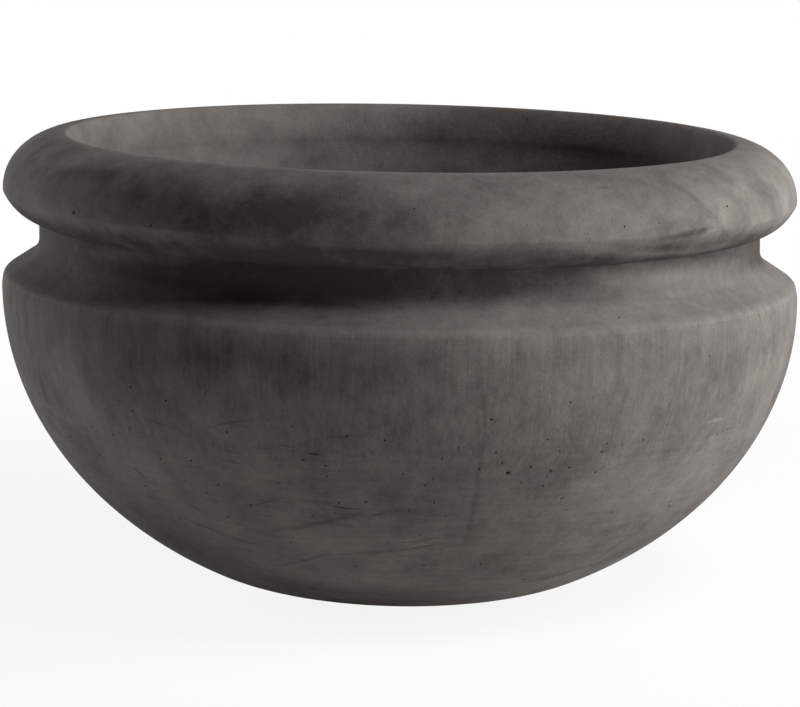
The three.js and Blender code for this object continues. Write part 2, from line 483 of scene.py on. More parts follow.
    def make(self, marks: Sequence[SkinMark]) -> bpy.types.Material:
        """Builds the material.

        Args:
            marks: The marks that lie at known places of the skin.

        Returns:
            The finished material.
        """
        sheet = NodeSheet(bpy.data.materials.new("charcoal_cast_concrete"))
        place = sheet.add("ShaderNodeTexCoord").outputs["Object"]
        height = sheet.add("ShaderNodeSeparateXYZ", links={0: place}).outputs[2]
        tone = self.marked_tone(sheet, place, self.plain_tone(sheet, place, height), marks)
        holes = self.air_holes(sheet, place, height)
        skin = sheet.add(
            "ShaderNodeMix",
            {"data_type": "RGBA", 6: colour(self.deep), 7: colour(self.pale)},
            {0: tone},
        ).outputs[2]
        pits = sheet.add("ShaderNodeAttribute", {"attribute_name": PIT_LAYER}).outputs["Fac"]
        sunk = sheet.add("ShaderNodeMath", {"operation": "MAXIMUM"}, {0: holes, 1: pits}).outputs[0]
        # The air holes and pits are mixed to near black: painted shade inside them.
        skin = sheet.add(
            "ShaderNodeMix", {"data_type": "RGBA", 7: colour(self.hole)}, {0: sunk, 6: skin}
        ).outputs[2]
        dull = sheet.add(
            "ShaderNodeMath",
            {"operation": "MULTIPLY_ADD", 1: self.roughness_spread, 2: self.roughness},
            {0: tone},
        ).outputs[0]
        surface = sheet.add(
            "ShaderNodeBsdfPrincipled",
            {"Specular IOR Level": self.gloss, "IOR": 1.5},
            {"Base Color": skin, "Roughness": dull, "Normal": self.unevenness(sheet, place, holes)},
        )
        sheet.add("ShaderNodeOutputMaterial", links={"Surface": surface.outputs[0]})
        return sheet.owner


@dataclass(frozen=True)
class DrainPipePlastic:
    """Extruded grey PVC pipe: a dull satin skin with fine lines along it and cement dust on it.

    The drawing lines are about 0.3 mm apart and are drawn at 1.2 mm so that they show.
    """

    plain: str = "#8b8f90"
    dusty: str = "#a09b95"
    roughness: float = 0.48
    line_mm: float = 1.2
    line_depth_mm: float = 0.1
    line_relief: float = 0.25
    dust_mm: float = 14.0
    dust_edge: tuple[float, float] = (0.42, 0.68)
    dust_dullness: float = 0.35

    def make(self) -> bpy.types.Material:
        """Builds the material."""
        sheet = NodeSheet(bpy.data.materials.new("grey_pvc_pipe"))
        place = sheet.add("ShaderNodeTexCoord").outputs["Object"]
        drawn = sheet.add("ShaderNodeMapping", {"Scale": (1, 1, 0.02)}, {"Vector": place}).outputs[0]
        lines = sheet.add(
            "ShaderNodeTexNoise", {"Scale": per_metre(self.line_mm), "Detail": 2.0}, {"Vector": drawn}
        )
        dust = sheet.add(
            "ShaderNodeTexNoise", {"Scale": per_metre(self.dust_mm), "Detail": 6.0}, {"Vector": place}
        )
        settled = sheet.add(
            "ShaderNodeMapRange",
            {"interpolation_type": "SMOOTHSTEP", 1: self.dust_edge[0], 2: self.dust_edge[1]},
            {"Value": dust.outputs[0]},
        ).outputs[0]
        skin = sheet.add(
            "ShaderNodeMix",
            {"data_type": "RGBA", 6: colour(self.plain), 7: colour(self.dusty)},
            {0: settled},
        ).outputs[2]
        dull = sheet.add(
            "ShaderNodeMath",
            {"operation": "MULTIPLY_ADD", 1: self.dust_dullness, 2: self.roughness},
            {0: settled},
        ).outputs[0]
        ridges = sheet.add(
            "ShaderNodeBump",
            {"Strength": self.line_relief, "Distance": self.line_depth_mm * MM},
            {"Height": lines.outputs[0]},
        )
        surface = sheet.add(
            "ShaderNodeBsdfPrincipled",
            {"IOR": 1.53},
            {"Base Color": skin, "Roughness": dull, "Normal": ridges.outputs[0]},
        )
        sheet.add("ShaderNodeOutputMaterial", links={"Surface": surface.outputs[0]})
        return sheet.owner


@dataclass(frozen=True)
class HotRolledSteel:
    """Plain reinforcing bar: blue-black mill scale with orange-brown rust where it has flaked."""

    scale_colour: str = "#3b3a3c"
    rust: str = "#7a4a2c"
    patch_mm: float = 18.0
    rust_edge: tuple[float, float] = (0.45, 0.6)
    metallic: tuple[float, float] = (0.8, 0.1)
    roughness: tuple[float, float] = (0.5, 0.85)
    grit_mm: float = 1.5
    grit_depth_mm: float = 0.2
    grit_relief: float = 0.4

    def make(self) -> bpy.types.Material:
        """Builds the material."""
        sheet = NodeSheet(bpy.data.materials.new("mill_scale_bar"))
        place = sheet.add("ShaderNodeTexCoord").outputs["Object"]
        patch = sheet.add(
            "ShaderNodeTexNoise", {"Scale": per_metre(self.patch_mm), "Detail": 6.0}, {"Vector": place}
        )
        rusted = sheet.add(
            "ShaderNodeMapRange",
            {"interpolation_type": "SMOOTHSTEP", 1: self.rust_edge[0], 2: self.rust_edge[1]},
            {"Value": patch.outputs[0]},
        ).outputs[0]
        skin = sheet.add(
            "ShaderNodeMix",
            {"data_type": "RGBA", 6: colour(self.scale_colour), 7: colour(self.rust)},
            {0: rusted},
        ).outputs[2]
        metal = sheet.add("ShaderNodeMapRange", {3: self.metallic[0], 4: self.metallic[1]}, {0: rusted})
        dull = sheet.add("ShaderNodeMapRange", {3: self.roughness[0], 4: self.roughness[1]}, {0: rusted})
        grit = sheet.add(
            "ShaderNodeTexNoise", {"Scale": per_metre(self.grit_mm), "Detail": 3.0}, {"Vector": place}
        )
        relief = sheet.add(
            "ShaderNodeBump",
            {"Strength": self.grit_relief, "Distance": self.grit_depth_mm * MM},
            {"Height": grit.outputs[0]},
        )
        links = {"Metallic": metal.outputs[0], "Roughness": dull.outputs[0], "Normal": relief.outputs[0]}
        surface = sheet.add("ShaderNodeBsdfPrincipled", links={"Base Color": skin, **links})
        sheet.add("ShaderNodeOutputMaterial", links={"Surface": surface.outputs[0]})
        return sheet.owner


# ---------- the bowl's half section ----------


def arc(
    centre: Sequence[float], reach: Sequence[float], start: float, end: float, steps: int
) -> list[Vector]:
    """Gives points along part of an ellipse in the XZ plane.

    Args:
        centre: Its centre's radius and height.
        reach: Its half-axes, outward and upward.
        start: Where it starts, in degrees from outward level.
        end: Where it ends, in degrees.
        steps: How many stretches it is drawn with.

    Returns:
        The points, both ends included.
    """
    turns = (math.radians(start + (end - start) * i / steps) for i in range(steps + 1))
    return [
        Vector((centre[0] + reach[0] * math.cos(turn), 0, centre[1] + reach[1] * math.sin(turn)))
        for turn in turns
    ]


def line(start: Vector, end: Vector, steps: int) -> list[Vector]:
    """Gives evenly spaced points from start to end."""
    return [start.lerp(end, i / steps) for i in range(steps + 1)]


def bend(start: Vector, pull: Vector, end: Vector, steps: int) -> list[Vector]:
    """Gives points along a quadratic curve from start to end, drawn towards pull."""
    shares = (i / steps for i in range(steps + 1))
    return [start.lerp(pull, s).lerp(pull.lerp(end, s), s) for s in shares]


def join_up(*stretches: Sequence[Vector]) -> list[Vector]:
    """Joins stretches end to end, leaving out each repeated point."""
    joined: list[Vector] = []
    for stretch in stretches:
        for point in stretch:
            if not joined or (point - joined[-1]).length > 0.02 * MM:
                joined.append(point)
    return joined


def soften(points: Sequence[Vector], corner: Vector, reach: float) -> list[Vector]:
    """Rounds the sharp corner of an outline.

    Args:
        points: The outline, with the corner as one of its points.
        corner: The corner.
        reach: How far from the corner the rounding starts, each way.

    Returns:
        The outline, with a small curve for the corner.
    """
    at = next(i for i, point in enumerate(points) if (point - corner).length < 0.01 * MM)
    before = corner + (points[at - 1] - corner).normalized() * reach
    after = corner + (points[at + 1] - corner).normalized() * reach
    head = [p for p in points[:at] if (p - corner).length > 1.2 * reach]
    tail = [p for p in points[at + 1 :] if (p - corner).length > 1.2 * reach]
    return head + bend(before, corner, after, 4) + tail


@dataclass(frozen=True)
class HalfSection:
    """The bowl's sizes, in metres and degrees: the ones that the frame doesn't give are the casting's.

    The numbers of stretches make each one a few millimetres long, and shorter round tight curves.
    """

    belly_radius: float
    height: float
    bore_radius: float
    belly_height: float = 0.398
    foot_radius: float = 0.138
    foot_rounding: float = 0.066
    shoulder_round: float = 0.063
    shoulder_turn: float = 15.0
    ridge_round: float = 0.011
    shoulder_slope: float = 33.0
    cove_round: float = 0.026
    neck_depth: float = 0.0505
    neck_height: float = 0.027
    crease_softness: float = 0.0015
    rim_inset: float = 0.0028
    crease_slope: float = 10.0
    arris_slope: float = 64.0
    arris_softness: float = 0.0015
    nose_round: float = 0.026
    nose_turn: float = 8.0
    rim_roll: float = 0.0814
    rim_rise: float = 0.0725
    wall: float = 0.055
    neck_wall: float = 0.039
    floor: float = 0.060
    floor_radius: float = 0.120
    floor_rounding: float = 0.045
    lip_reach: float = 0.009
    lip_drop: float = 0.032
    lip_step: float = 0.040
    bore_edge: float = 0.002

    @property
    def neck_radius(self) -> float:
        """Radius of the neck."""
        return self.belly_radius - self.neck_depth

    @property
    def nose_radius(self) -> float:
        """Radius of the rim's nose."""
        return self.belly_radius - self.rim_inset

    @property
    def crest_radius(self) -> float:
        """Radius of the rim's crest."""
        return self.nose_radius - self.rim_roll

    def bowl(self, widest: float, base: float, corner: float, rounding: float, steps: int) -> list[Vector]:
        """Gives a bowl from its level base, round its soft corner, out to the widest part.

        Args:
            widest: Radius of the widest part.
            base: Height of the level base.
            corner: Radius at which the bowl would meet the base if its corner were sharp.
            rounding: Reach of the soft corner each way.
            steps: Stretches above the corner.

        Returns:
            The points, from the edge of the flat base up.
        """
        depth = (self.belly_height - base) / math.sqrt(1 - (corner / widest) ** 2)
        start = -math.acos((corner + rounding) / widest)
        join = Vector((corner + rounding, 0, self.belly_height + depth * math.sin(start)))
        steepness = depth * math.cos(start) / (-widest * math.sin(start))
        pull = Vector((join.x - (join.z - base) / steepness, 0, base))
        soft = bend(Vector((corner - rounding, 0, base)), pull, join, 12)
        return soft + arc((0, self.belly_height), (widest, depth), math.degrees(start), 0, steps)[1:]

    def throat(self) -> list[Vector]:
        """Gives the shoulder, its ridge, the slope and the cove, from the widest part to the neck."""
        turn, slope = math.radians(self.shoulder_turn), math.radians(self.shoulder_slope)
        low_centre = (self.belly_radius - self.shoulder_round, self.belly_height)
        shoulder = arc(low_centre, (self.shoulder_round,) * 2, 0, self.shoulder_turn, 5)
        inner = self.shoulder_round - self.ridge_round
        ridge_centre = (low_centre[0] + inner * math.cos(turn), low_centre[1] + inner * math.sin(turn))
        ridge = arc(ridge_centre, (self.ridge_round,) * 2, self.shoulder_turn, 90 - self.shoulder_slope, 7)
        end_radius = self.neck_radius + self.cove_round * (1 - math.sin(slope))
        end_height = ridge[-1].z + (ridge[-1].x - end_radius) * math.tan(slope)
        bottom = end_height + self.cove_round * math.cos(slope)
        cove_centre = (self.neck_radius + self.cove_round, bottom)
        cove = arc(cove_centre, (self.cove_round,) * 2, 270 - self.shoulder_slope, 180, 9)
        return join_up(shoulder, ridge, line(ridge[-1], cove[0], 6), cove)

    def rim(self, neck_bottom: Vector) -> list[Vector]:
        """Gives the neck, the full underside of the rim, its arris, its nose and its roll.

        Args:
            neck_bottom: Where the cove ends.

        Returns:
            The points, up to the crest.
        """
        crease = neck_bottom + UP * self.neck_height
        nose_height = self.height - self.rim_rise
        nose_centre = (self.nose_radius - self.nose_round, nose_height)
        nose = arc(nose_centre, (self.nose_round,) * 2, -self.nose_turn, 0, 2)
        arris = nose[0]
        low, steep = (math.tan(math.radians(a)) for a in (self.crease_slope, self.arris_slope))
        reach = (crease.z - arris.z + (arris.x - crease.x) * steep) / (steep - low)
        under = bend(crease, crease + Vector((reach, 0, reach * low)), arris, 14)
        roll = arc((self.crest_radius, nose_height), (self.rim_roll, self.rim_rise), 0, 90, 26)
        whole = join_up(line(neck_bottom, crease, 4), under, nose, roll)
        return soften(soften(whole, crease, self.crease_softness), arris, self.arris_softness)

    def outside(self) -> list[Vector]:
        """Gives the outer half section, from the drain's bore under the foot up to the crest."""
        edge = self.foot_radius
        flat = line(Vector((self.bore_radius + self.bore_edge, 0, 0)), Vector((edge, 0, 0)), 10)
        belly = self.bowl(self.belly_radius, 0, edge + self.foot_rounding, self.foot_rounding, 60)
        throat = self.throat()
        return join_up(flat, belly, throat, self.rim(throat[-1]))

    def inside(self) -> list[Vector]:
        """Gives the inner half section, from the floor's edge at the bore up to the crest."""
        inner_neck = self.neck_radius - self.neck_wall
        lip_level = self.height - self.lip_drop
        start = Vector((self.bore_radius + self.bore_edge, 0, self.floor))
        corner = self.floor_radius + self.floor_rounding
        flat = line(start, Vector((self.floor_radius, 0, self.floor)), 8)
        wall = self.bowl(self.belly_radius - self.wall, self.floor, corner, self.floor_rounding, 38)
        top = Vector((inner_neck, 0, self.throat()[-1].z))
        middle = (wall[-1].z + top.z) / 2
        waist = Vector(((wall[-1].x + inner_neck) / 2, 0, middle))
        throat = bend(wall[-1], Vector((wall[-1].x, 0, middle)), waist, 6)
        throat += bend(waist, Vector((inner_neck, 0, middle)), top, 6)[1:]
        lip = Vector((self.crest_radius - self.lip_reach, 0, lip_level))
        recess = Vector((inner_neck, 0, lip_level - self.lip_step))
        half = lip.lerp(recess, 0.5)
        upper = bend(lip, lip - UP * self.lip_step / 3, half, 5)
        lower = bend(half, recess + UP * self.lip_step / 3, recess, 5)
        rim = arc((self.crest_radius, lip_level), (self.lip_reach, self.lip_drop), 180, 90, 8)
        return join_up(flat, wall, throat, line(top, recess, 6), lower[::-1], upper[::-1], rim)

    def bore(self) -> list[Vector]:
        """Gives the drain's bore, down from the floor, with its two softened edges."""
        top = Vector((self.bore_radius, 0, self.floor))
        bottom = Vector((self.bore_radius, 0, 0))
        edge = UP * self.bore_edge
        outward = Vector((self.bore_edge, 0, 0))
        upper = bend(top + outward, top, top - edge, 3)
        lower = bend(bottom + edge, bottom, bottom + outward, 3)
        return join_up(upper, line(upper[-1], lower[0], 5), lower)

    def ring(self) -> list[Vector]:
        """Gives the whole half section once round, with no point twice."""
        return join_up(self.outside(), self.inside()[::-1], self.bore())[:-1]


def spin_ring(bm: bmesh.types.BMesh, points: Sequence[Vector], steps: int) -> None:
    """Turns a closed outline once about the upright axis, into a closed skin facing outwards."""
    corners = [bm.verts.new(p) for p in points]
    edges = [bm.edges.new((a, b)) for a, b in zip(corners, corners[1:] + corners[:1])]
    bmesh.ops.spin(
        bm, geom=corners + edges, cent=(0, 0, 0), axis=UP, angle=FULL_TURN, steps=steps, use_merge=True
    )
    bmesh.ops.remove_doubles(bm, verts=bm.verts, dist=0.01 * MM)
    bmesh.ops.recalc_face_normals(bm, faces=bm.faces)


def finish_piece(bm: bmesh.types.BMesh, name: str, material: bpy.types.Material) -> bpy.types.Object:
    """Makes an object of a bmesh, smooth and dressed, standing at the origin.

    Args:
        bm: The mesh, which is freed.
        name: The piece's name.
        material: Its finish.

    Returns:
        The piece.
    """
    mesh = bpy.data.meshes.new(name)
    bm.to_mesh(mesh)
    bm.free()
    mesh.shade_smooth()
    mesh.materials.append(material)
    piece = bpy.data.objects.new(name, mesh)
    bpy.context.scene.collection.objects.link(piece)
    return piece


# ---------- the camera ----------


@dataclass(frozen=True)
class Viewpoint:
    """Where the photograph was taken from: a long lens, a little above the rim, turned a touch."""

    distance: float = 4.548
    sideways: float = 0.002
    height: float = 1.0627
    pitch_down: float = 9.435
    roll: float = 1.097
    lens: float = 153.25
    sensor: float = 36.0
    image: tuple[int, int] = (800, 707)

    @property
    def pixel_at_one_metre(self) -> float:
        """Size of a pixel of the photograph, one metre away."""
        return self.sensor / self.lens / self.image[0]

    def matrix(self) -> Matrix:
        """Gives the camera's place and turn."""
        look = Matrix.Rotation(math.radians(90 - self.pitch_down), 4, "X")
        tilt = Matrix.Rotation(math.radians(self.roll), 4, "Z")
        return Matrix.Translation((self.sideways, -self.distance, self.height)) @ look @ tilt

    def ray(self, pixel: tuple[float, float]) -> tuple[Vector, Vector]:
        """Gives the start and the direction of the sight line through a pixel of the photograph."""
        width, tall = self.image
        across = (pixel[0] - width / 2) / width * self.sensor
        up = (tall / 2 - pixel[1]) / width * self.sensor
        placed = self.matrix()
        return placed.translation, (placed.to_3x3() @ Vector((across, up, -self.lens))).normalized()

    def place(self) -> None:
        """Adds the camera to the scene."""
        data = bpy.data.cameras.new("viewpoint")
        data.lens = self.lens
        data.sensor_width = self.sensor
        data.sensor_fit = "HORIZONTAL"
        camera = bpy.data.objects.new("viewpoint", data)
        camera.matrix_world = self.matrix()
        bpy.context.scene.collection.objects.link(camera)
        bpy.context.scene.camera = camera


# ---------- the pieces ----------


@dataclass(frozen=True)
class Stroke:
    """A mark as the photograph shows it: between two pixels, so many pixels wide, and darker by its tone."""

    start: tuple[float, float]
    end: tuple[float, float]
    width: float
    tone: float
    depth: float = 14 * MM
    bow: float = 1.8
    overlap: float = 1.1
    centring: float = 0.7

    def lay(self, tree: BVHTree, viewpoint: Viewpoint) -> SkinMark | None:
        """Lays the mark on the skin.

        Args:
            tree: The skin.
            viewpoint: Where the photograph was taken from.

        Returns:
            The mark, or None where a sight line misses the skin.
        """
        middle = ((self.start[0] + self.end[0]) / 2, (self.start[1] + self.end[1]) / 2)
        spots = [tree.ray_cast(*viewpoint.ray(pixel)) for pixel in (self.start, middle, self.end)]
        if not all(spot[0] for spot in spots):
            return None
        first, centre, last = (spot[0] for spot in spots)
        along = (last - first).normalized()
        out = spots[1][1]
        out = (out - along * out.dot(along)).normalized()
        turn = Matrix((along, out.cross(along), out)).transposed().to_euler()
        pixel = viewpoint.pixel_at_one_metre * spots[1][3]
        half = (last - first).length / 2
        reach = Vector((half * self.overlap, self.width * pixel, self.depth + half * half * self.bow))
        middle_spot = ((first + last) / 2).lerp(centre, self.centring)
        return SkinMark(middle_spot, turn, reach, self.tone)


@dataclass(frozen=True)
class AirHole:
    """One air hole in the skin: where it is, how wide, and how deep, in metres."""

    spot: Vector
    radius: float
    depth: float


@dataclass
class Casting:
    """The concrete casting, in one piece from foot to rim."""

    sizes: HalfSection
    viewpoint: Viewpoint
    steps: int = 336
    wobble: float = 0.8 * MM
    wobble_size: float = 0.22
    ripple: float = 0.3 * MM
    ripple_size: float = 0.05
    ripple_shift: float = 9.0
    foot_lean: float = 4.0 * MM
    rim_lean: float = -2.2 * MM
    rim_lean_rise: float = 1.4
    flat_margin: float = 4.0
    foot_fade: float = 10 * MM
    hole_seed: int = 11
    scattered_holes: int = 110
    hole_lowest: float = 0.05
    hole_span: float = 0.75
    hole_crowding: float = 1.4
    hole_radii_mm: tuple[float, float] = (0.8, 1.9)
    hole_depths: tuple[float, float] = (0.7, 1.1)
    pit_cuts: int = 5
    holes_seen: dict[str, tuple[float, float, float]] = field(
        default_factory=lambda: {
            "rim_left": (72, 213, 1.5),
            "rim_dash": (149, 226, 1.4),
            "rim_middle": (337, 199, 1.0),
            "crease_left": (251, 263, 1.4),
            "crease_middle": (447, 268, 1.8),
            "crease_pair": (466, 270, 1.6),
            "crease_right": (589, 266, 2.0),
            "shoulder_left": (59, 267, 1.0),
            "shoulder_right": (621, 317, 1.3),
            "shoulder_far": (432, 297, 1.4),
            "belly_upper": (520, 357, 0.9),
            "belly_far": (711, 355, 1.2),
            "belly_a": (439, 461, 1.2),
            "belly_b": (461, 450, 1.2),
            "belly_c": (480, 467, 1.3),
            "belly_d": (497, 451, 1.4),
            "belly_e": (504, 461, 1.4),
            "belly_f": (506, 475, 2.1),
            "belly_g": (491, 419, 1.6),
            "belly_h": (528, 468, 1.5),
            "belly_i": (551, 473, 1.6),
            "belly_j": (562, 497, 1.3),
            "belly_k": (599, 451, 1.3),
            "belly_l": (596, 471, 1.3),
            "belly_m": (624, 443, 1.1),
            "belly_n": (667, 508, 1.6),
            "belly_o": (402, 476, 1.2),
            "belly_p": (436, 481, 1.1),
            "belly_q": (303, 461, 1.5),
            "belly_r": (373, 452, 1.2),
            "belly_s": (130, 427, 1.3),
            "belly_t": (113, 433, 1.2),
            "belly_u": (160, 458, 1.3),
            "belly_v": (185, 482, 1.1),
            "belly_w": (204, 492, 1.2),
            "belly_x": (280, 484, 1.1),
            "belly_y": (329, 478, 1.2),
            "belly_z": (525, 580, 1.5),
        }
    )
    strokes_seen: dict[str, Stroke] = field(
        default_factory=lambda: {
            "left_line": Stroke((129, 413), (181, 430), 1.8, 0.29),
            "left_slash": Stroke((197, 405), (213, 383), 1.8, 0.26),
            "left_pair_upper": Stroke((199, 427), (254, 420), 1.8, 0.33),
            "left_pair_lower": Stroke((224, 424), (253, 428), 1.6, 0.23),
            "left_edge_arc_upper": Stroke((36, 358), (48, 405), 2.4, 0.29),
            "left_edge_arc_lower": Stroke((46, 398), (63, 434), 2.4, 0.33),
            "left_low_arc": Stroke((84, 441), (111, 464), 2.0, 0.29),
            "left_nick": Stroke((132, 467), (151, 481), 2.6, 0.52),
            "middle_pair_upper": Stroke((214, 449), (250, 456), 1.6, 0.26),
            "middle_pair_lower": Stroke((217, 459), (252, 466), 1.6, 0.29),
            "middle_nick": Stroke((303, 453), (322, 454), 2.2, 0.55),
            "middle_before_nick": Stroke((272, 444), (300, 448), 1.6, 0.23),
            "middle_upper_line": Stroke((320, 440), (370, 434), 2.0, 0.29),
            "middle_line_a": Stroke((248, 506), (290, 497), 1.8, 0.36),
            "middle_line_b": Stroke((320, 504), (369, 511), 2.0, 0.42),
            "middle_line_c": Stroke((368, 517), (387, 513), 1.8, 0.39),
            "low_left_a": Stroke((183, 501), (213, 519), 2.0, 0.36),
            "low_left_b": Stroke((178, 516), (242, 541), 3.4, 0.36),
            "low_left_c": Stroke((222, 536), (266, 546), 2.4, 0.26),
            "low_smear": Stroke((262, 533), (366, 514), 5.5, 0.29),
            "low_dark_a": Stroke((268, 568), (336, 552), 3.4, 0.30),
            "low_dark_b": Stroke((325, 555), (425, 548), 4.5, 0.23),
            "low_pair_upper": Stroke((392, 544), (449, 537), 2.0, 0.36),
            "low_pair_lower": Stroke((392, 552), (449, 543), 2.2, 0.39),
            "foot_smear": Stroke((285, 586), (395, 596), 5.0, 0.33),
            "stain_upper": Stroke((481, 380), (487, 440), 4.0, 0.23),
            "stain_lower": Stroke((487, 430), (463, 560), 5.0, 0.23),
            "right_slash": Stroke((669, 495), (690, 470), 2.6, 0.33),
            "right_low_smear": Stroke((525, 584), (600, 562), 7.0, 0.36),
            "right_low_smear_end": Stroke((585, 566), (632, 535), 6.0, 0.23),
            "right_pale_fleck": Stroke((702, 422), (727, 418), 3.2, -0.39),
            "right_streak": Stroke((757, 308), (763, 330), 3.0, 0.29),
            # Darker patches on the upper belly, under the ridge.
            "dark_patch_left": Stroke((150, 362), (262, 358), 30.0, 0.24),
            "dark_patch_middle": Stroke((240, 366), (370, 378), 38.0, 0.34),
            "dark_under_ridge": Stroke((340, 362), (470, 376), 34.0, 0.28),
            "rim_smudge": Stroke((660, 239), (712, 229), 5.0, 0.49),
            "rim_smudge_end": Stroke((696, 232), (716, 226), 5.0, 0.29),
            "rim_stain_upper": Stroke((672, 182), (712, 212), 5.0, 0.26),
            "rim_stain_lower": Stroke((700, 205), (730, 236), 6.0, 0.26),
            "rim_crescent": Stroke((240, 203), (254, 201), 2.0, 0.59),
            "rim_dent": Stroke((598, 188), (612, 187), 3.0, 0.36),
            # Broad and faint, down to pale_low_right: they stand in for light and shade that the
            # lamps don't give, and lie on the skin, so they stay where they are in every view.
            "rim_left_shade": Stroke((30, 180), (250, 218), 34.0, 0.46),
            "rim_middle_shade": Stroke((180, 208), (470, 226), 38.0, 0.50),
            "rim_crest_left_shade": Stroke((22, 174), (126, 176), 15.0, 0.34),
            "slope_left_shade": Stroke((165, 296), (375, 307), 10.0, 0.34),
            "slope_left_deep": Stroke((250, 282), (350, 290), 9.0, 0.30),
            "groove_right_lit": Stroke((560, 286), (760, 268), 20.0, -0.72),
            "underside_left_lit": Stroke((62, 250), (225, 262), 9.0, -0.34),
            "underside_middle_shade": Stroke((280, 250), (500, 255), 10.0, 0.30),
            "underside_right_lit": Stroke((552, 256), (748, 243), 10.0, -0.46),
            "rim_right_shade": Stroke((735, 176), (786, 214), 26.0, 0.22),
            "groove_far_lit": Stroke((480, 298), (620, 292), 9.0, -0.24),
            "pale_low_left": Stroke((92, 390), (226, 562), 86.0, -0.50),
            "pale_left_edge": Stroke((46, 345), (118, 455), 40.0, -0.36),
            "pale_low_front": Stroke((235, 562), (420, 590), 28.0, -0.32),
            "pale_low_right": Stroke((550, 505), (720, 450), 54.0, -0.18),
            # A dark mark along a short stretch of the crease.
            "crease_dark_mark": Stroke((560, 268), (606, 260), 4.0, 0.52),
        }
    )

    def drift(self, spot: Vector) -> Vector:
        """Gives how far a point of the skin lies from the true form.

        Args:
            spot: The point on the true form.

        Returns:
            The move: soft hollows left by the mould, always inwards, and a slight lean.
        """
        level = Vector((spot.x, spot.y, 0))
        outward = level.normalized() if level.length > 1e-6 else Vector((0, 0, 0))
        soft = 0.5 + 0.5 * noise.noise(spot / self.wobble_size)
        fine = 0.5 + 0.5 * noise.noise(spot / self.ripple_size + UP * self.ripple_shift)
        inwards = outward * (self.wobble * soft + self.ripple * fine)
        up_belly = min(spot.z / self.sizes.belly_height, 1)
        up_neck = max(spot.z - self.sizes.belly_height, 0) / (self.sizes.height - self.sizes.belly_height)
        lean = self.foot_lean * (1 - up_belly**3)
        lean += self.rim_lean * math.sin(math.pi / 2 * min(up_neck * self.rim_lean_rise, 1))
        return Vector((lean, 0, 0)) - inwards

    def free_of_flats(self, spot: Vector) -> float:
        """Gives 0 on the foot's underside, in the bore and on the floor, rising to 1 away from them."""
        radius = math.hypot(spot.x, spot.y)
        near = self.sizes.bore_radius + self.flat_margin * self.sizes.bore_edge
        away = min(max((radius - near) / self.sizes.foot_radius, 0), 1)
        return away * min(spot.z / self.foot_fade, 1)

    def hole_lots(self, tree: BVHTree) -> Iterator[AirHole]:
        """Gives the holes that the photograph shows singly, then those scattered by lot.

        Args:
            tree: The skin, for finding where a sight line or a level line meets it.

        Yields:
            Each air hole.
        """
        lots = random.Random(self.hole_seed)
        for across, down, size in self.holes_seen.values():
            spot, _, _, away = tree.ray_cast(*self.viewpoint.ray((across, down)))
            if spot:
                radius = size * self.viewpoint.pixel_at_one_metre * away
                yield AirHole(spot, radius, radius)
        for _ in range(self.scattered_holes):
            turn = lots.uniform(0, FULL_TURN)
            share = self.hole_lowest + self.hole_span * lots.random() ** self.hole_crowding
            level = self.sizes.belly_height * share
            radius = lots.uniform(*self.hole_radii_mm) * MM
            along = Vector((math.cos(turn), math.sin(turn), 0))
            spot, _, _, _ = tree.ray_cast(along * 2 + UP * level, -along)
            if spot:
                yield AirHole(spot, radius, radius * lots.uniform(*self.hole_depths))

    def sink_holes(self, bm: bmesh.types.BMesh, tree: BVHTree) -> int:
        """Cuts small round pits into the skin.

        Args:
            bm: The casting's mesh, which is changed.
            tree: The skin before the pits.

        Returns:
            How many pits were cut.
        """
        bm.faces.ensure_lookup_table()
        layer = bm.verts.layers.float.new(PIT_LAYER)
        by_face = {tree.find_nearest(hole.spot)[2]: hole for hole in self.hole_lots(tree)}
        cut = {bm.faces[index]: hole for index, hole in by_face.items()}
        for face, hole in cut.items():
            centre = face.calc_center_median()
            inward = -face.normal.normalized()
            grid = bmesh.ops.subdivide_edges(
                bm, edges=face.edges[:], cuts=self.pit_cuts, use_grid_fill=True
            )
            inner = {v for v in grid["geom_inner"] if isinstance(v, bmesh.types.BMVert)}
            for vert in inner:
                if vert.is_valid and (vert.co - centre).length < hole.radius:
                    near = (vert.co - centre).length / hole.radius
                    bowl = math.sqrt(1 - near * near)
                    vert.co += inward * hole.depth * bowl
                    vert[layer] = bowl
        return len(cut)

    def build(self, finish: CastConcrete) -> bpy.types.Object:
        """Builds and dresses the casting.

        Args:
            finish: The concrete.

        Returns:
            The piece, which stands for the plain CAD casting.
        """
        bm = bmesh.new()
        spin_ring(bm, self.sizes.ring(), self.steps)
        for vert in bm.verts:
            vert.co += self.drift(vert.co) * self.free_of_flats(vert.co)
        tree = BVHTree.FromBMesh(bm)
        marks = [stroke.lay(tree, self.viewpoint) for stroke in self.strokes_seen.values()]
        marks = [mark for mark in marks if mark]
        holes = self.sink_holes(bm, tree)
        log.info("casting: %d faces, %d air holes, %d marks", len(bm.faces), holes, len(marks))
        piece = finish_piece(bm, "bowl_casting", finish.make(marks))
        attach(piece, BODY)
        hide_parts("planter_casting")
        return piece


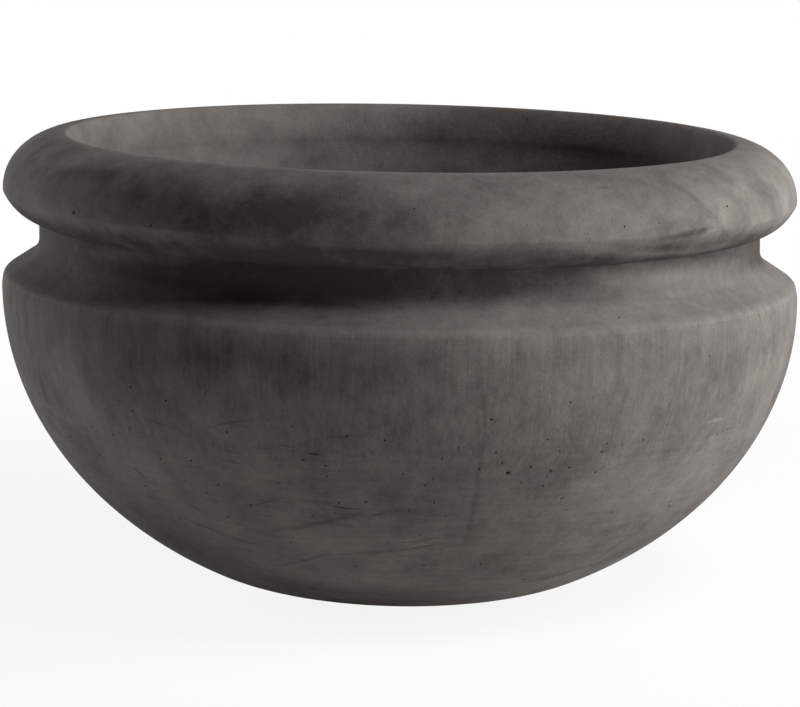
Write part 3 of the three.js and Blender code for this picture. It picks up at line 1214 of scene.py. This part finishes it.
@dataclass
class DrainSleeve:
    """The plastic pipe stub that lines the drain, with sawn and softened ends."""

    node: str = "drain_sleeve"
    wall: float = 3.7 * MM
    edge: float = 0.5 * MM
    steps: int = 96

    def build(self, finish: bpy.types.Material) -> bpy.types.Object:
        """Builds the sleeve in the place of its CAD node.

        Args:
            finish: The pipe's plastic.

        Returns:
            The piece.
        """
        low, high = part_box(self.node)
        outer, inner = high.x, high.x - self.wall
        corners = (
            Vector((inner, 0, low.z)),
            Vector((outer, 0, low.z)),
            Vector((outer, 0, high.z)),
            Vector((inner, 0, high.z)),
        )
        bm = bmesh.new()
        spin_ring(bm, corners, self.steps)
        rims = [edge for edge in bm.edges if edge.calc_face_angle(0) > math.radians(60)]
        bmesh.ops.bevel(
            bm, geom=rims, offset=self.edge, segments=2, profile=0.5, affect="EDGES", material=-1
        )
        piece = finish_piece(bm, "drain_pipe_stub", finish)
        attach(piece, BODY)
        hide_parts(self.node)
        return piece


@dataclass
class BarCage:
    """The steel bars inside the wall, which are the CAD's own solids in a real finish."""

    kinds: tuple[str, ...] = ("rib_bar", "hoop")

    def dress(self, finish: bpy.types.Material) -> list[str]:
        """Gives every bar its finish.

        Args:
            finish: The steel.

        Returns:
            The names of the bars.
        """
        bars = [name for name in sorted(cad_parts) if any(kind in name for kind in self.kinds)]
        for name in bars:
            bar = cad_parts[name]
            bar.data.materials.clear()
            bar.data.materials.append(finish)
        return bars


# ---------- the studio ----------


def seen_directly(sheet: NodeSheet) -> bpy.types.NodeSocket:
    """Tells the rays of the eye, of reflections and of transmission from those of light.

    Args:
        sheet: The nodes of the floor or of the world.

    Returns:
        A mask that is 1 for the eye, reflections and transmission, and 0 for light.
    """
    paths = sheet.add("ShaderNodeLightPath").outputs
    eye = sheet.add(
        "ShaderNodeMath",
        {"operation": "MAXIMUM"},
        {0: paths["Is Camera Ray"], 1: paths["Is Glossy Ray"]},
    ).outputs[0]
    return sheet.add(
        "ShaderNodeMath", {"operation": "MAXIMUM"}, {0: eye, 1: paths["Is Transmission Ray"]}
    ).outputs[0]


@dataclass(frozen=True)
class Lamp:
    """One soft square lamp round the bowl: its bearing from the camera's side, its height and power."""

    name: str
    bearing: float
    rise: float
    watts: float
    side: float = 1.4
    away: float = 4.0
    aim: float = 0.4

    def place(self) -> None:
        """Adds the lamp to the scene, hidden from the camera."""
        data = bpy.data.lights.new(self.name, "AREA")
        data.shape = "SQUARE"
        data.size = self.side
        data.energy = self.watts
        turn, rise = math.radians(self.bearing), math.radians(self.rise)
        out = Vector((math.sin(turn) * math.cos(rise), -math.cos(turn) * math.cos(rise), math.sin(rise)))
        facing = out.to_track_quat("Z", "Y").to_matrix().to_4x4()
        lamp = bpy.data.objects.new(self.name, data)
        lamp.matrix_world = Matrix.Translation(out * self.away + UP * self.aim) @ facing
        lamp.visible_camera = False
        bpy.context.scene.collection.objects.link(lamp)


@dataclass
class Studio:
    """A pale floor that fades into a white surround, with lamps on the right and one behind on the left."""

    floor_colour: str = "#e9e8e6"
    floor_side: float = 60.0
    floor_glow: float = 0.88
    fade_start: float = 0.7
    fade_end: float = 2.6
    ambient: float = 0.0
    lamps: tuple[Lamp, ...] = (
        Lamp("right_key", 90, 25, 68.0),
        Lamp("right_low", 90, 5, 116.0),
        Lamp("right_front_low", 65, 8, 22.0),
        Lamp("front_right_high", 45, 50, 84.0),
        Lamp("front_right", 60, 25, 12.0),
        Lamp("back_left", -120, 5, 118.0),
    )

    def floor(self) -> bpy.types.Object:
        """Lays the floor just under the foot, pale near it and white where the surround begins."""
        bm = bmesh.new()
        bmesh.ops.create_grid(bm, x_segments=1, y_segments=1, size=self.floor_side / 2)
        sheet = NodeSheet(bpy.data.materials.new("pale_floor"))
        seen = seen_directly(sheet)
        place = sheet.add("ShaderNodeTexCoord").outputs["Object"]
        away = sheet.add("ShaderNodeVectorMath", {"operation": "LENGTH"}, {0: place})
        glow = sheet.add(
            "ShaderNodeMapRange",
            {
                "interpolation_type": "SMOOTHSTEP",
                1: self.fade_start,
                2: self.fade_end,
                3: self.floor_glow,
                4: 1.0,
            },
            {0: away.outputs["Value"]},
        )
        share = sheet.add("ShaderNodeMath", {"operation": "MULTIPLY"}, {0: seen, 1: glow.outputs[0]})
        matt = sheet.add("ShaderNodeBsdfDiffuse", {"Color": colour(self.floor_colour)})
        white = sheet.add("ShaderNodeEmission", {"Color": (1, 1, 1, 1), "Strength": 1.0})
        mixed = sheet.add(
            "ShaderNodeMixShader", links={0: share.outputs[0], 1: matt.outputs[0], 2: white.outputs[0]}
        )
        sheet.add("ShaderNodeOutputMaterial", links={"Surface": mixed.outputs[0]})
        floor = finish_piece(bm, "studio_floor", sheet.owner)
        floor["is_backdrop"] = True
        return floor

    def surround(self) -> None:
        """Sets the world: white to the eye and in reflections, and no light of its own otherwise."""
        sheet = NodeSheet(bpy.data.worlds.new("studio"))
        seen = seen_directly(sheet)
        strength = sheet.add("ShaderNodeMapRange", {3: self.ambient, 4: 1.0}, {0: seen}).outputs[0]
        white = sheet.add("ShaderNodeBackground", {"Color": (1, 1, 1, 1)}, {"Strength": strength})
        sheet.add("ShaderNodeOutputWorld", links={"Surface": white.outputs[0]})
        bpy.context.scene.world = sheet.owner

    def build(self) -> None:
        """Builds the floor, the surround and the lamps."""
        bpy.context.scene.view_settings.view_transform = "Standard"
        self.floor()
        self.surround()
        for lamp in self.lamps:
            lamp.place()


# ---------- the whole scene ----------


def write_sizes() -> None:
    """Gathers the CAD model's box and the visual model's box as plain lists; nothing is written or compared.
    """
    boxes = {"cad": CAD_BOX, "visual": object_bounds()}
    plain = {name: [list(corner) for corner in box] for name, box in boxes.items()}


def main() -> None:
    """Builds the camera, the pieces and the studio, in that order."""
    logging.basicConfig(level=logging.INFO, format="%(name)s: %(message)s")
    viewpoint = Viewpoint()
    viewpoint.place()
    _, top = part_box("planter_casting")
    _, sleeve_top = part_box("drain_sleeve")
    sizes = HalfSection(belly_radius=top.x, height=top.z, bore_radius=sleeve_top.x + SLEEVE_GAP)
    casting = Casting(sizes, viewpoint).build(CastConcrete())
    log.info("built %s", casting.name)
    sleeve = DrainSleeve().build(DrainPipePlastic().make())
    log.info("built %s", sleeve.name)
    for name in BarCage().dress(HotRolledSteel().make()):
        log.info("dressed %s", name)
    Studio().build()
    write_sizes()


if __name__ == "__main__":
    main()
